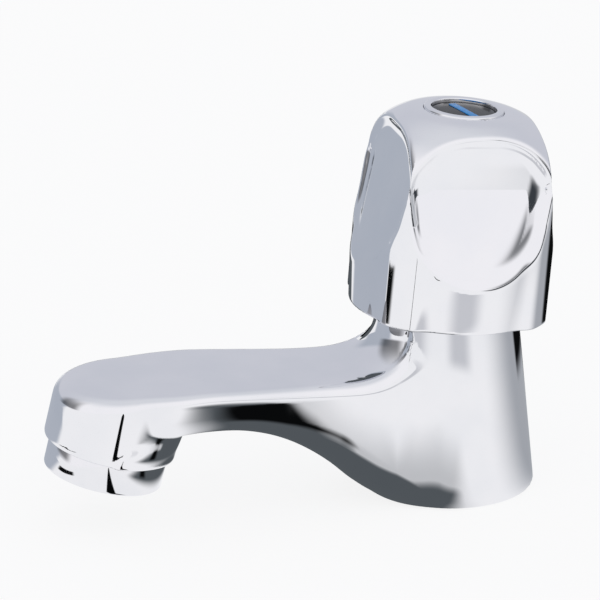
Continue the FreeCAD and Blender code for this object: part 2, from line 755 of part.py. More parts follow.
# Index button: chromed bezel cup, black disc and a plain bar for cold
bezel = turned("bezel", [
    ("0", BEZEL_BASE),
    ("recess_radius - fit_gap", BEZEL_BASE),
    ("recess_radius - fit_gap", f"{BEZEL_TOP} - edge_break"),
    ("recess_radius - fit_gap - edge_break", BEZEL_TOP),
    (f"{DISC_RADIUS} + edge_break", BEZEL_TOP),
    (DISC_RADIUS, f"{BEZEL_TOP} - edge_break"),
    (DISC_RADIUS, DISC_BASE),
    ("0", DISC_BASE),
])
node(bezel, "index_bezel", headwork_frame())
disc = turned("disc", [
    ("0", DISC_BASE),
    (f"{DISC_RADIUS} - fit_gap", DISC_BASE),
    (f"{DISC_RADIUS} - fit_gap", DISC_TOP),
    (f"{DISC_RADIUS} - fit_gap - edge_break", DISC_FACE),
    ("0", DISC_FACE),
])
node(disc, "index_disc", headwork_frame())
mark = doc.addObject("Part::Box", "mark")
mark.setExpression("Length", bound("mark_width"))
mark.setExpression("Width", bound("mark_length"))
mark.setExpression("Height", bound("mark_thickness"))
mark_place = Placement(Vector(-size("mark_width") / 2, -size("mark_length") / 2, size(DISC_FACE)), Rotation())
node(mark, "index_mark", headwork_frame().multiply(mark_place))

# Aerator: outer collar, cartridge cup with jets, two screens, outlet grid and washer
collar = turned("collar", [
    ("collar_bore", "0"),
    ("collar_radius_out - collar_chamfer", "0"),
    ("collar_radius_out", "collar_chamfer"),
    ("collar_radius_out", "collar_drop"),
    ("collar_neck_radius", "collar_drop"),
    ("collar_neck_radius", COLLAR_NECK_TOP),
    ("collar_bore - cartridge_wall", COLLAR_NECK_TOP),
    ("collar_bore - cartridge_wall", CARTRIDGE_TOP),
    ("collar_bore", CARTRIDGE_TOP),
])
node(collar, "nozzle_collar", nozzle_frame())
cup = tube("cup", CARTRIDGE_BORE, "collar_bore - running_gap", "cartridge_inset", CARTRIDGE_TOP)
lid = cylinder("cup_lid", "collar_bore - running_gap", "cartridge_cap", f"{CARTRIDGE_TOP} - cartridge_cap")
cup_blank = fuse("cup_blank", [cup, lid])
jets = []
for step in range(int(size("jet_count"))):
    angle = 2 * math.pi * step / int(size("jet_count"))
    jet = cylinder(f"jet_{step}", "jet_radius", "cartridge_cap", f"{CARTRIDGE_TOP} - cartridge_cap")
    jet.setExpression("Placement.Base.x", bound("jet_circle") + f" * {math.cos(angle):.6f}")
    jet.setExpression("Placement.Base.y", bound("jet_circle") + f" * {math.sin(angle):.6f}")
    jets.append(jet)
node(cut("cup_jets", cup_blank, fuse("jets", jets)), "aerator_cartridge", nozzle_frame())


def grid_shape(radius, thickness, pitch, bar, level):
    """A round plate with square windows."""
    plate = Part.makeCylinder(radius, thickness, Vector(0, 0, level))
    reach = int(radius / pitch)
    hole = pitch - bar
    windows = []
    for i in range(-reach, reach + 1):
        for j in range(-reach, reach + 1):
            if math.hypot(abs(i) * pitch + hole / 2, abs(j) * pitch + hole / 2) < radius - bar:
                corner = Vector(i * pitch - hole / 2, j * pitch - hole / 2, level)
                windows.append(Part.makeBox(hole, hole, thickness, corner))
    return plate.cut(Part.makeCompound(windows))


grid = shaped("grid", grid_shape(size(CARTRIDGE_BORE), size("grid_thickness"), size("grid_pitch"),
                                 size("grid_bar"), size("cartridge_inset")))
node(grid, "flow_straightener", nozzle_frame())
screen_low = size("cartridge_inset") + size("grid_thickness")
screens = []
for step in range(2):
    level = screen_low + step * size("screen_spacing")
    screens.append(grid_shape(size(CARTRIDGE_BORE), size("screen_thickness"), size("screen_pitch"),
                              size("screen_bar"), level))
node(shaped("screens", Part.makeCompound(screens)), "aerator_screens", nozzle_frame())
aerator_washer = tube("aerator_ring", "nozzle_bore", "collar_neck_radius", COLLAR_NECK_TOP,
                      f"{COLLAR_NECK_TOP} + aerator_washer_thickness")
node(aerator_washer, "aerator_washer", nozzle_frame())

# Base seal, set flush in the underside of the base
base_seal = tube("base_ring", "seal_inner", "seal_inner + seal_width", "0", "seal_thickness")
node(base_seal, "base_seal")

# Under the basin: rubber washer, thrust plate and backnut
clear = "tail_radius + fit_gap"
soft_top = "0 - deck_gap"
plate_top = "0 - deck_gap - deck_washer_thickness"
nut_top = f"{plate_top} - thrust_plate_thickness"
deck_washer = tube("deck_ring", clear, "deck_washer_radius", plate_top, soft_top)
node(deck_washer, "deck_washer")
thrust_plate = tube("plate_ring", clear, "deck_washer_radius - 1", nut_top, plate_top)
node(thrust_plate, "thrust_plate")
nut_blank = fuse("nut_blank", [
    cylinder("nut_flange", "backnut_corner", "backnut_flange", f"{nut_top} - backnut_flange"),
    hexagon("nut_hexagon", "backnut_corner - 1", "backnut_thickness", f"{nut_top} - backnut_thickness"),
])
nut_hole = cylinder("nut_hole", clear, "backnut_thickness", f"{nut_top} - backnut_thickness")
node(cut("nut", nut_blank, nut_hole), "backnut")

# Check every object, then write one file per piece
doc.recompute()
for item in doc.Objects:
    if "Invalid" in item.State or "Error" in item.State:
        raise RuntimeError(f"{item.Name} failed: {item.State}")
for item in nodes:
    if item.Shape.isNull() or not item.Shape.isValid():
        raise RuntimeError(f"{item.Label} has no valid shape")
os.makedirs("parts", exist_ok=True)
for item in nodes:
    item.Shape.exportStep(f"parts/{item.Label}.step")
    print(item.Label, len(item.Shape.Solids), round(item.Shape.Volume, 1))
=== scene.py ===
# %% [markdown]
# # A basin tap
#
# This notebook builds the looks of a chrome pillar tap: a cast body with a flat spout that sweeps out of
# a leaning column, and a square-shouldered knob with a thumb scoop in each side. The exact pieces and the
# joints come ready made from the construction step. Here the casting and the knob get skins with soft,
# rounded edges, every piece gets a finish, and the tap is set on white ground as in the photograph.
# %% Load the frame
import json
import math

import bpy
import numpy as np
from mathutils import Matrix, Vector


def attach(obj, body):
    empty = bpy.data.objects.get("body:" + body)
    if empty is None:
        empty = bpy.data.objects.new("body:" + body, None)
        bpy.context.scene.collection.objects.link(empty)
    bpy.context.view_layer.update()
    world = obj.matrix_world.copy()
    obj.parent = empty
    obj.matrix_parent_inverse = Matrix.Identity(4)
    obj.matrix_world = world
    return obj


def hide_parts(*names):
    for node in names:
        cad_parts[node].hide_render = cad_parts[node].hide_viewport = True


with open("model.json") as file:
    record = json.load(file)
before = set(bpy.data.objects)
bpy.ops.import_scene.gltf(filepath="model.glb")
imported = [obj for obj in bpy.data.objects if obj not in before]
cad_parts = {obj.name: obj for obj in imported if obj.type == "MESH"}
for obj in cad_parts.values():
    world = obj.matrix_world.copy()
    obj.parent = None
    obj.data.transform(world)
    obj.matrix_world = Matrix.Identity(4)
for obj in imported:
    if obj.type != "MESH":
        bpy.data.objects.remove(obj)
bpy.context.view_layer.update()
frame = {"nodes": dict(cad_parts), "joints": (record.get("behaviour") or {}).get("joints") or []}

nodes = frame["nodes"]

# %% [markdown]
# The knob, its spindle and its button all stand on one axis that leans back a little. HEAD is that axis
# as a place: a piece made upright at the origin is moved there in one step. NOZZLE does the same for the
# water outlet, which leans forward. All lengths are in millimetres and are brought to metres by MM, and
# angles are in degrees.
# %% Measures
MM = 0.001
NOZZLE_FORWARD, NOZZLE_LEVEL, NOZZLE_LEAN = 101.5, 14.0, 14
RIM_LEVEL, KNOB_HEIGHT = 55.4, 57.2

knob_turn = next(joint for joint in frame["joints"] if joint["name"] == "knob_turn")
AXIS_FOOT = Vector(knob_turn["pos_m"])
AXIS_UP = Vector(knob_turn["axis"]).normalized()
HEAD = Matrix.Translation(AXIS_FOOT) @ Vector((0, 0, 1)).rotation_difference(AXIS_UP).to_matrix().to_4x4()
OUTLET = Vector((0, -NOZZLE_FORWARD, NOZZLE_LEVEL)) * MM
NOZZLE = Matrix.Translation(OUTLET) @ Matrix.Rotation(math.radians(-NOZZLE_LEAN), 4, "X")
UPRIGHT = Matrix.Identity(4)
print("the headwork leans back", round(math.degrees(math.acos(AXIS_UP.z)), 2), "degrees")

# %% [markdown]
# These helpers do by script what a hand does in Blender's window: select one piece, clean its mesh, apply
# its modifiers and put its place into its mesh. A turned piece such as a ring is drawn as half a cross
# section and spun round its axis, which is how a lathe makes the real one.
# %% Small helpers
# Points that lie closer together than this, in metres, are made one
CLOSE, CLOSE_SPUN = 0.000004, 0.000002


def alone(item):
    """Selects one piece and nothing else."""
    bpy.ops.object.select_all(action="DESELECT")
    item.select_set(True)
    bpy.context.view_layer.objects.active = item


def settle(item, place=UPRIGHT):
    """Puts the piece's place into its mesh, so that the object sits at the origin."""
    item.data.transform(place @ item.matrix_basis)
    item.matrix_basis = Matrix.Identity(4)
    item.data.update()
    return item


def report(item):
    """Prints how many triangles a piece has and how large it is."""
    triangles = sum(len(face.vertices) - 2 for face in item.data.polygons)
    corners = np.array([tuple(corner) for corner in item.bound_box])
    size = [round(float(side) * 1000, 1) for side in np.ptp(corners, axis=0)]
    print(item.name, "triangles", triangles, "size in mm", size)


def smooth_at(item, angle):
    """Shades faces as one where they meet at less than an angle in degrees."""
    alone(item)
    bpy.ops.object.shade_smooth_by_angle(angle=math.radians(angle))


def apply_all(item):
    alone(item)
    for modifier in list(item.modifiers):
        bpy.ops.object.modifier_apply(modifier=modifier.name)


def tidy_mesh(item, gap=CLOSE):
    """Joins points that lie within a gap in metres of each other and turns all faces outwards."""
    alone(item)
    bpy.ops.object.mode_set(mode="EDIT")
    bpy.ops.mesh.select_all(action="SELECT")
    bpy.ops.mesh.remove_doubles(threshold=gap)
    bpy.ops.mesh.normals_make_consistent(inside=False)
    bpy.ops.object.mode_set(mode="OBJECT")


def drawn(name, corners, edges=(), faces=()):
    """A new piece drawn from corners in mm and the edges or faces between them."""
    mesh = bpy.data.meshes.new(name)
    mesh.from_pydata([tuple(v * MM for v in corner) for corner in corners], edges, faces)
    item = bpy.data.objects.new(name, mesh)
    bpy.context.collection.objects.link(item)
    return item


def outlined(name, outline):
    """A closed outline of (radius, level) corners, in mm, standing beside the upright axis."""
    edges = [(i, (i + 1) % len(outline)) for i in range(len(outline))]
    return drawn(name, [(radius, 0, level) for radius, level in outline], edges)


def arc(centre, radius, start, end, steps):
    """Corners along an arc, for rounded edges in an outline."""
    corners = []
    for step in range(steps + 1):
        angle = math.radians(start + (end - start) * step / steps)
        corners.append((centre[0] + radius * math.cos(angle), centre[1] + radius * math.sin(angle)))
    return corners


def lathe(name, outline, place, steps=128):
    """Spins a closed outline about the upright axis of a place."""
    item = outlined(name, outline)
    alone(item)
    bpy.ops.object.mode_set(mode="EDIT")
    bpy.ops.mesh.select_all(action="SELECT")
    bpy.ops.mesh.spin(steps=steps, angle=2 * math.pi, center=(0, 0, 0), axis=(0, 0, 1))
    bpy.ops.object.mode_set(mode="OBJECT")
    tidy_mesh(item, CLOSE_SPUN)
    return settle(item, place)


def merged_copy(node, name):
    """A copy of a CAD node with its own mesh, its loose triangles joined."""
    item = nodes[node].copy()
    item.data = nodes[node].data.copy()
    item.name = item.data.name = name
    for key in list(item.keys()):
        if key.startswith("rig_"):
            del item[key]
    item.parent = None
    item.matrix_world = UPRIGHT
    item.data.materials.clear()
    bpy.context.collection.objects.link(item)
    tidy_mesh(item)
    return item


# %% [markdown]
# A casting has no sharp edges, because sand and polishing wheels round them all. Rounding with bevels
# needs clean edges, which a flat arm growing out of an oval column doesn't have. So the shape is written
# as distances instead: each function says how far a point lies outside a wall, and soft_union and
# soft_common join two walls with a round of a chosen size. The mesh is later slid onto the surface where
# the distance is nought.
# %% Joining shapes softly
def ramp(value, low, high):
    """0 below low, 1 above high, with a soft start and end."""
    share = np.clip((value - low) / (high - low), 0, 1)
    return share * share * (3 - 2 * share)


def soft_union(a, b, fillet):
    """Joins two shapes with a fillet; each shape is a distance in mm, negative inside."""
    gap = np.clip(0.5 + 0.5 * (b - a) / fillet, 0, 1)
    return b * (1 - gap) + a * gap - fillet * gap * (1 - gap)


def soft_common(a, b, fillet):
    """Keeps what two shapes share, with a rounded edge."""
    return -soft_union(-a, -b, fillet)


def slope(shape, points, step=0.02):
    """How a shape's distance changes along X, Y and Z."""
    parts = []
    for axis in range(3):
        shift = np.zeros(3)
        shift[axis] = step
        parts.append((shape(points + shift) - shape(points - shift)) / (2 * step))
    return np.stack(parts, axis=1)


def in_frame(points, place):
    """Points of the shared frame, in mm, as seen from a place's own axes."""
    back = np.array(place.inverted())
    return points @ back[:3, :3].T + back[:3, 3] / MM


# %% [markdown]
# STATIONS lists the cross sections of the spout, as a pattern maker would cut templates for it, and KEEL
# says how far up the side the rounding of its underside reaches. The column is an oval that narrows
# towards its top. The nozzle is a short cylinder on its own leaning axis.
# %% Shape of the casting
STATIONS = np.array([
    # forward, top half width, keel half width, underside level, top level
    (-2.0, 11.0, 11.0, 0.8, 40.0),
    (7.8, 14.0, 14.0, 0.8, 40.0),
    (17.8, 16.7, 16.7, 0.8, 40.0),
    (24.8, 17.2, 17.0, 2.6, 40.0),
    (30.8, 17.3, 16.3, 6.6, 40.0),
    (36.8, 17.3, 15.5, 12.1, 40.0),
    (43.8, 17.7, 15.0, 17.8, 40.2),
    (51.8, 18.4, 15.0, 22.8, 40.6),
    (61.9, 19.4, 15.0, 26.4, 41.2),
    (74.1, 20.2, 15.2, 27.6, 41.9),
    (84.0, 20.1, 16.2, 27.4, 41.9),
    (90.0, 19.2, 17.2, 27.0, 41.9),
    (94.5, 18.62, 17.5, 26.6, 41.9),
    (99.0, 18.4, 17.5, 26.4, 41.9),
])
KEEL = np.array([
    # forward, reach of the rounding
    (0.0, 3.0), (7.8, 5.0), (17.8, 10.0), (24.8, 14.0), (30.8, 15.0), (36.8, 14.0), (43.8, 11.0), (51.8, 8.5),
    (61.9, 7.0), (74.1, 6.5), (99.0, 6.5),
])
SPOUT_ROOT, SPOUT_TIP = 2.0, 96.0
COLUMN_TOP = 58.0
# Middle, half width and half length of the column's oval, where it stands on the basin and at its top
COLUMN_FOOT, COLUMN_HEAD = (1.65, 21.3, 23.65), (-1.25, 20.0, 20.0)
NOZZLE_RADIUS, NOZZLE_LOW, NOZZLE_HIGH = 18.6, 8.3, 28.0
MOUTH_RADIUS, MOUTH_TOP = 14.3, 15.6
BORE_RADIUS, BORE_FLOOR = 10.5, 30.0


def through(where, marks, values):
    """A smooth curve through values at marks along the spout."""
    tangents = np.gradient(values, marks)
    where = np.clip(where, marks[0], marks[-1])
    spot = np.clip(np.searchsorted(marks, where) - 1, 0, len(marks) - 2)
    width = marks[spot + 1] - marks[spot]
    t = (where - marks[spot]) / width
    return ((1 + 2 * t) * (1 - t) ** 2 * values[spot] + t * (1 - t) ** 2 * width * tangents[spot]
            + t * t * (3 - 2 * t) * values[spot + 1] + t * t * (t - 1) * width * tangents[spot + 1])


def spout_distance(points):
    """The arm without its top: leaning sides and a rounded keel."""
    side, forward, height = np.abs(points[:, 0]), -points[:, 1], points[:, 2]
    half_top, half_keel, under, top = (
        through(forward, STATIONS[:, 0], STATIONS[:, column]) for column in range(1, 5))
    rise, run = top - under, half_top - half_keel
    flank = ((side - half_keel) * rise - (height - under) * run) / np.hypot(rise, run)
    walls = soft_common(flank, under - height, through(forward, KEEL[:, 0], KEEL[:, 1]))
    return soft_common(soft_common(walls, forward - SPOUT_TIP, 1.0), SPOUT_ROOT - forward, 1.0)


def column_distance(points):
    """The column: an oval whose middle leans back, cut off square to the headwork's axis."""
    share = points[:, 2] / COLUMN_TOP
    middle, wide, long = (foot + share * (head - foot) for foot, head in zip(COLUMN_FOOT, COLUMN_HEAD))
    oval = (np.hypot(points[:, 0] / wide, (points[:, 1] - middle) / long) - 1) * wide
    return soft_common(oval, in_frame(points, HEAD)[:, 2] - COLUMN_TOP, 1.0)


def round_distance(points, place, radius):
    """Height on a place's own axis, and how far outside a cylinder round it a point lies."""
    own = in_frame(points, place)
    return own[:, 2], np.hypot(own[:, 0], own[:, 1]) - radius


def body_distance(points):
    """The casting: upright walls of arm and column, closed above by a top that sweeps up into the column."""
    side, height = np.abs(points[:, 0]), points[:, 2]
    level, wall = round_distance(points, NOZZLE, NOZZLE_RADIUS)
    nozzle = soft_common(wall, NOZZLE_LOW - level, 1.6)
    # The nozzle's heel is well rounded below the arm, and higher up the two walls meet in a fine line
    heel = 0.4 + 7.6 * (1 - ramp(height, 22, 31))
    column = column_distance(points)
    walls = soft_union(soft_union(spout_distance(points), nozzle, heel), column, 5.0)
    # The flat top sweeps up over a wide round, which stays off the column's sides and back
    flat = height - through(-points[:, 1], STATIONS[:, 0], STATIONS[:, 4])
    roof = soft_union(flat, column - 4.0 * ramp(side, 13, 19) - 4.0 * ramp(points[:, 1], -6, 2), 14.5)
    whole = soft_common(walls, roof, 4.0 - 3.5 * ramp(height, 43, 54))
    whole = soft_common(whole, -height, 2.4)
    level, wall = round_distance(points, NOZZLE, MOUTH_RADIUS)
    mouth = soft_common(wall, level - MOUTH_TOP, 0.4)
    level, wall = round_distance(points, HEAD, BORE_RADIUS)
    bore = soft_common(wall, BORE_FLOOR - level, 0.4)
    return soft_common(soft_common(whole, -mouth, 0.4), -bore, 0.4)


print("greatest width of the spout, mm:", 2 * STATIONS[:, 1].max())

# %% [markdown]
# The knob is round in plan with a domed top. Between its four narrow ribs the skirt is drawn in, and
# above the skirt each side has an oval scoop for a thumb. The scoop is the track of a large wheel that is
# tipped inwards at the top, which is why its floor is nearly flat and its rim an oval. All four sides are
# the same, so one side is described and the angle round the axis is folded into it. Levels are counted
# from the knob's rim.
# %% Shape of the knob
def circle_through(a, b, c):
    """Centre and radius of the circle through three points."""
    a, b, c = np.array(a), np.array(b), np.array(c)
    centre = np.linalg.solve(2 * np.array((b - a, c - a)), (b @ b - a @ a, c @ c - a @ a))
    return centre, float(np.hypot(*(centre - a)))


def wheel_centre(low, high, radius):
    """Centre of a wheel of some radius, outside the knob, whose track runs through two points."""
    chord = high - low
    out = np.array((chord[1], -chord[0])) / np.hypot(*chord)
    return (low + high) / 2 + out * math.sqrt(radius ** 2 - (np.hypot(*chord) / 2) ** 2)


KNOB_RADIUS, DOME_TOP = 30.55, 57.6
DOME_CENTRE, DOME_RADIUS = circle_through((30.3, 36.0), (25.8, 49.5), (13.0, 57.3))
SKIRT_RADIUS, SKIRT_FLARE, SKIRT_HEIGHT = 27.6, 1.2, 23
RIB_HALF = 3.9
WHEEL_RADIUS = 78.0
WHEEL_CENTRE = wheel_centre(np.array((29.0, 13.6)), np.array((19.1, 55.4)), WHEEL_RADIUS)
SCOOP_LEVEL, SCOOP_RADIUS, SCOOP_STRETCH, SCOOP_LIMIT = 34.5, 17.4, 3.9, 27.0
RECESS_RADIUS, RECESS_FLOOR = 11.3, 51.0


def scoop_floor(height):
    """How far from the axis the dished floor of a thumb scoop lies, at a height."""
    return WHEEL_CENTRE[0] - np.sqrt(np.maximum(WHEEL_RADIUS ** 2 - (height - WHEEL_CENTRE[1]) ** 2, 1))


def knob_distance(points):
    """Outside of the knob: a dome, a skirt that draws in, four ribs and four thumb scoops."""
    reach, height = np.hypot(points[:, 0], points[:, 1]), points[:, 2]
    outward, upward = np.maximum(reach - DOME_CENTRE[0], 0), np.maximum(height - DOME_CENTRE[1], 0)
    arch = np.hypot(outward, upward) - DOME_RADIUS
    dome = soft_common(soft_common(reach - KNOB_RADIUS, arch, 2.0), height - DOME_TOP, 1.5)
    # The angle from the middle of the nearest side, and from the nearest rib
    angle, quarter = np.arctan2(points[:, 1], points[:, 0]), math.pi / 2
    from_side = (angle + quarter / 2) % quarter - quarter / 2
    from_rib = angle % quarter - quarter / 2
    across, deep = reach * np.sin(from_side), reach * np.cos(from_side)
    aside, out = np.abs(reach * np.sin(from_rib)), reach * np.cos(from_rib)
    skirt = reach - (SKIRT_RADIUS + SKIRT_FLARE * np.clip(height / SKIRT_HEIGHT, 0, 1))
    rib = (aside - RIB_HALF - np.maximum(KNOB_RADIUS - out, 0)) / math.sqrt(2)
    shell = soft_common(dome, soft_union(skirt, rib, 1.4), 1.2)
    # The scoop's oval widens upwards
    spread = 1.6 + 2.6 * ramp(height, 22, 46)
    box = np.stack((np.abs(across) - spread, np.abs(height - SCOOP_LEVEL) - SCOOP_STRETCH), axis=1)
    oval = np.hypot(*np.maximum(box, 0).T) + np.minimum(box.max(axis=1), 0) - SCOOP_RADIUS
    floor = soft_union(scoop_floor(height) - deep, SCOOP_LIMIT - reach, 3.0)
    shell = soft_common(shell, -soft_common(oval, floor, 6.0), 1.6)
    recess = soft_common(reach - RECESS_RADIUS, RECESS_FLOOR - height, 0.3)
    shell = soft_common(shell, -recess, 0.5)
    return soft_common(shell, -height, 0.8)


print("radius of the knob's shoulder, mm:", round(DOME_RADIUS, 1))

# %% [markdown]
# A skin starts as a rough piece. A voxel remesh gives it even faces, and then every outer point is slid
# along the slope of a distance function until it lies on the true surface. Shading normals are taken from
# the same function, since chrome shows every ripple that the faces alone would leave.
# %% Making a skin
def read_mesh(item):
    """Points of a mesh, in mm, and the directions in which they face."""
    places, normals = np.empty((2, 3 * len(item.data.vertices)))
    item.data.vertices.foreach_get("co", places)
    item.data.vertex_normals.foreach_get("vector", normals)
    return places.reshape(-1, 3) / MM, normals.reshape(-1, 3)


def outside(points, normals, shape, depth):
    """Which points lie near the surface of a shape and face outwards, not into its hollows."""
    outwards = (normals * slope(shape, points)).sum(axis=1) > 0
    return (shape(points) > -depth) & outwards


def step_to(points, shape, least, wall=0.0):
    """The step along the slope that brings points to the surface, or to a wall's thickness below it."""
    grade = slope(shape, points)
    steepness = np.maximum((grade ** 2).sum(axis=1), least)
    return ((shape(points) + wall) / steepness)[:, None] * grade


def fit_to(item, shape, rounds, depth, reach=1.2, wall=0.7):
    """Slides the outer points of a mesh onto a shape, by no more than reach in one round.

    Points that face inwards stay at least a wall's thickness below the surface.
    """
    everything, normals = read_mesh(item)
    outer = outside(everything, normals, shape, depth)
    points = everything[outer]
    for _ in range(rounds):
        step = step_to(points, shape, 0.05)
        length = np.maximum(np.linalg.norm(step, axis=1), 1e-9)
        points = points - step * np.minimum(1, reach / length)[:, None]
    everything[outer] = points
    for _ in range(3):
        inner = ~outer & (shape(everything) > -wall)
        everything[inner] -= step_to(everything[inner], shape, 0.25, wall)
    item.data.vertices.foreach_set("co", (everything * MM).ravel())
    item.data.update()
    off = np.abs(shape(points)) > 0.05
    print(item.name, "points off the shape by more than 0.05 mm:", int(off.sum()), "of", len(points))


def take_normals(item, shape):
    """Shades the outer points by the slope of the shape, so that reflections run true."""
    points, normals = read_mesh(item)
    outer = outside(points, normals, shape, depth=0.1)
    grade = slope(shape, points[outer])
    normals[outer] = grade / np.maximum(np.linalg.norm(grade, axis=1), 1e-9)[:, None]
    item.data.normals_split_custom_set_from_vertices([tuple(n) for n in normals])


def remesh(item, voxel):
    """Gives a piece even faces of about a voxel's size in mm."""
    modifier = item.modifiers.new("remesh", "REMESH")
    modifier.mode = "VOXEL"
    modifier.voxel_size = voxel * MM
    apply_all(item)


def relax(item, rounds):
    """Evens out the faces, each round by half of the way to their neighbours."""
    modifier = item.modifiers.new("relax", "SMOOTH")
    modifier.factor = 0.5
    modifier.iterations = rounds
    apply_all(item)


def make_skin(item, shape, voxel, softening, rounds, depth):
    """Turns a rough piece into a fine skin that lies on a shape."""
    remesh(item, voxel)
    relax(item, softening)
    fit_to(item, shape, rounds, depth)
    relax(item, 3)
    fit_to(item, shape, 4, depth)
    alone(item)
    bpy.ops.object.shade_smooth()
    take_normals(item, shape)
    report(item)


# %% [markdown]
# The body starts as plain pieces at their real size and place: a cone for the column, a stack of sections
# for the arm and a cylinder for the nozzle. A coarse remesh melts them into one. The bore for the
# headwork and the mouth of the nozzle are then cut out with cylinders.
# %% Rough body
CONE_FOOT, CONE_TOP, CONE_LEAN = 22.4, 20, -1.2
ROUGH_VOXEL = 0.8
BORE_END = 70.0


def cylinder(radius, low, high, place, sides=64):
    """A cylinder between two levels of a place, in mm, with its place in its mesh."""
    bpy.ops.mesh.primitive_cylinder_add(vertices=sides, radius=radius * MM, depth=(high - low) * MM,
                                        location=(0, 0, (low + high) / 2 * MM))
    return settle(bpy.context.object, place)


def join(items):
    bpy.ops.object.select_all(action="DESELECT")
    for item in items:
        item.select_set(True)
    bpy.context.view_layer.objects.active = items[0]
    bpy.ops.object.join()
    return items[0]


def carve(item, cutter):
    """Cuts one piece out of another and takes the cutter away."""
    modifier = item.modifiers.new("carve", "BOOLEAN")
    modifier.operation = "DIFFERENCE"
    modifier.solver = "EXACT"
    modifier.object = cutter
    apply_all(item)
    bpy.data.objects.remove(cutter)


def rough_arm():
    """The sections of the spout, one after the other, with walls between them."""
    corners = []
    for forward, half_top, half_keel, under, top in STATIONS:
        corners += [(-half_top, -forward, top), (half_top, -forward, top),
                    (half_keel, -forward, under), (-half_keel, -forward, under)]
    last = len(corners) - 1
    sides = [(0, 1, 2, 3), (last, last - 1, last - 2, last - 3)]
    for first in range(0, last - 3, 4):
        for i in range(4):
            j = (i + 1) % 4
            sides.append((first + j, first + i, first + i + 4, first + j + 4))
    item = drawn("arm", corners, faces=sides)
    tidy_mesh(item)
    return item


bpy.ops.mesh.primitive_cone_add(vertices=64, radius1=CONE_FOOT * MM, radius2=CONE_TOP * MM,
                                depth=COLUMN_TOP * MM, location=(0, 0, COLUMN_TOP / 2 * MM))
column = settle(bpy.context.object, Matrix.Shear("XY", 4, (0, math.tan(math.radians(CONE_LEAN)))))
arm = rough_arm()
nozzle = cylinder(NOZZLE_RADIUS, NOZZLE_LOW, NOZZLE_HIGH, NOZZLE)
body = join([column, arm, nozzle])
body.name = body.data.name = "body_skin"
remesh(body, ROUGH_VOXEL)
carve(body, cylinder(BORE_RADIUS, BORE_FLOOR, BORE_END, HEAD))
carve(body, cylinder(MOUTH_RADIUS, 0.0, MOUTH_TOP, NOZZLE))
report(body)

# %% [markdown]
# The body is one solid casting, so all of its outer points are slid onto the shape, however far they lie
# from it: the rough pieces miss the fillets by some millimetres.
# %% Body skin
make_skin(body, body_distance, voxel=0.65, softening=6, rounds=8, depth=50)

# %% [markdown]
# The knob is a thin shell, hollow below, so its skin starts from the exact shell and keeps its inside.
# Only the points near the outside are slid onto the knob's surface.
# %% Knob skin
KNOB = HEAD @ Matrix.Translation((0, 0, RIM_LEVEL * MM))


def knob_in_place(points):
    return knob_distance(in_frame(points, KNOB))


knob = merged_copy("handle_shell", "knob_skin")
make_skin(knob, knob_in_place, voxel=0.55, softening=4, rounds=6, depth=2.2)

# %% [markdown]
# Below the basin the body ends in a half-inch pipe thread. It is one ridge, wound up a core by a screw
# modifier with the real pitch. It is hidden in the photograph but seen when the tap is turned over.
# %% Thread on the tail
PITCH, TURNS = 1.814, 26
TAIL_LOW, WATERWAY, CORE, CREST = -50, 6.5, 9.6, 10.42

tail = lathe("tail_core", [
    (WATERWAY, TAIL_LOW), (9.2, TAIL_LOW), (CORE, -49.5), (CORE, 0), (WATERWAY, 0),
], UPRIGHT, 64)
thread = outlined("tail_thread", [(9.5, -49.3), (CREST, -48.6), (CREST, -48.3), (9.5, -47.6)])
winding = thread.modifiers.new("winding", "SCREW")
winding.axis = "Z"
winding.steps = winding.render_steps = 40
winding.screw_offset = PITCH * MM
winding.iterations = TURNS
apply_all(thread)
tidy_mesh(thread)
for item in (tail, thread):
    smooth_at(item, 30)
    report(item)

# %% [markdown]
# The collar that holds the aerator is a turned ring, so its outline is drawn once and spun about the
# nozzle's axis. The small arcs are the broken edges that catch the light.
# %% Collar
collar = lathe("collar_ring", [
    # the lip round the outlet, the lower edge and the upper edge
    (12.6, 0.4), *arc((13.0, 0.4), 0.4, 180, 270, 3),
    *arc((16.0, 0.8), 0.8, -90, 0, 6),
    *arc((16.5, 7.9), 0.3, 0, 90, 3),
    # the neck inside the nozzle and the seat for the aerator
    (14.2, 8.2), (14.2, 14.0), (11.4, 14.0), (11.4, 9.9), (12.6, 9.9),
], NOZZLE)
smooth_at(collar, 40)
report(collar)

# %% [markdown]
# The button in the top of the knob is a chromed cup with a gloss black disc in it. The disc is slightly
# domed like a drop of enamel. A plain blue bar marks the tap as cold. It is turned a little from the
# spout's line, as the mark on the photographed tap is.
# %% Index button
TOP = RIM_LEVEL + KNOB_HEIGHT
CUP_BASE, CUP_FLOOR = TOP - 6.2, TOP - 4.6
BAR_SIZE, BAR_EDGE, BAR_TURN = (13.4, 2.3, 0.5), 0.18, 12
BAR_LEVEL = TOP - 0.55

bezel = lathe("bezel_ring", [
    (0, CUP_BASE), (11.2, CUP_BASE), *arc((10.6, TOP), 0.6, 0, 90, 5),
    *arc((9.6, TOP + 0.2), 0.4, 90, 180, 4), (9.2, CUP_FLOOR), (0, CUP_FLOOR),
], HEAD)
disc = lathe("button_disc", [
    (0, CUP_FLOOR), (9.1, CUP_FLOOR), *arc((8.7, TOP - 1.1), 0.4, 0, 80, 4),
    (6, TOP - 0.62), (3, TOP - 0.55), (0, TOP - 0.52),
], HEAD)

bpy.ops.mesh.primitive_cube_add(size=1)
bar = bpy.context.object
bar.name = bar.data.name = "cold_bar"
bar.scale = [side * MM for side in BAR_SIZE]
bpy.ops.object.transform_apply(location=False, rotation=False, scale=True)
edge = bar.modifiers.new("edge", "BEVEL")
edge.width = BAR_EDGE * MM
edge.segments = 3
apply_all(bar)
bar_turned = Matrix.Rotation(math.radians(BAR_TURN), 4, "Z")
settle(bar, HEAD @ Matrix.Translation((0, 0, BAR_LEVEL * MM)) @ bar_turned)
for item in (bezel, disc, bar):
    smooth_at(item, 40)
    report(item)

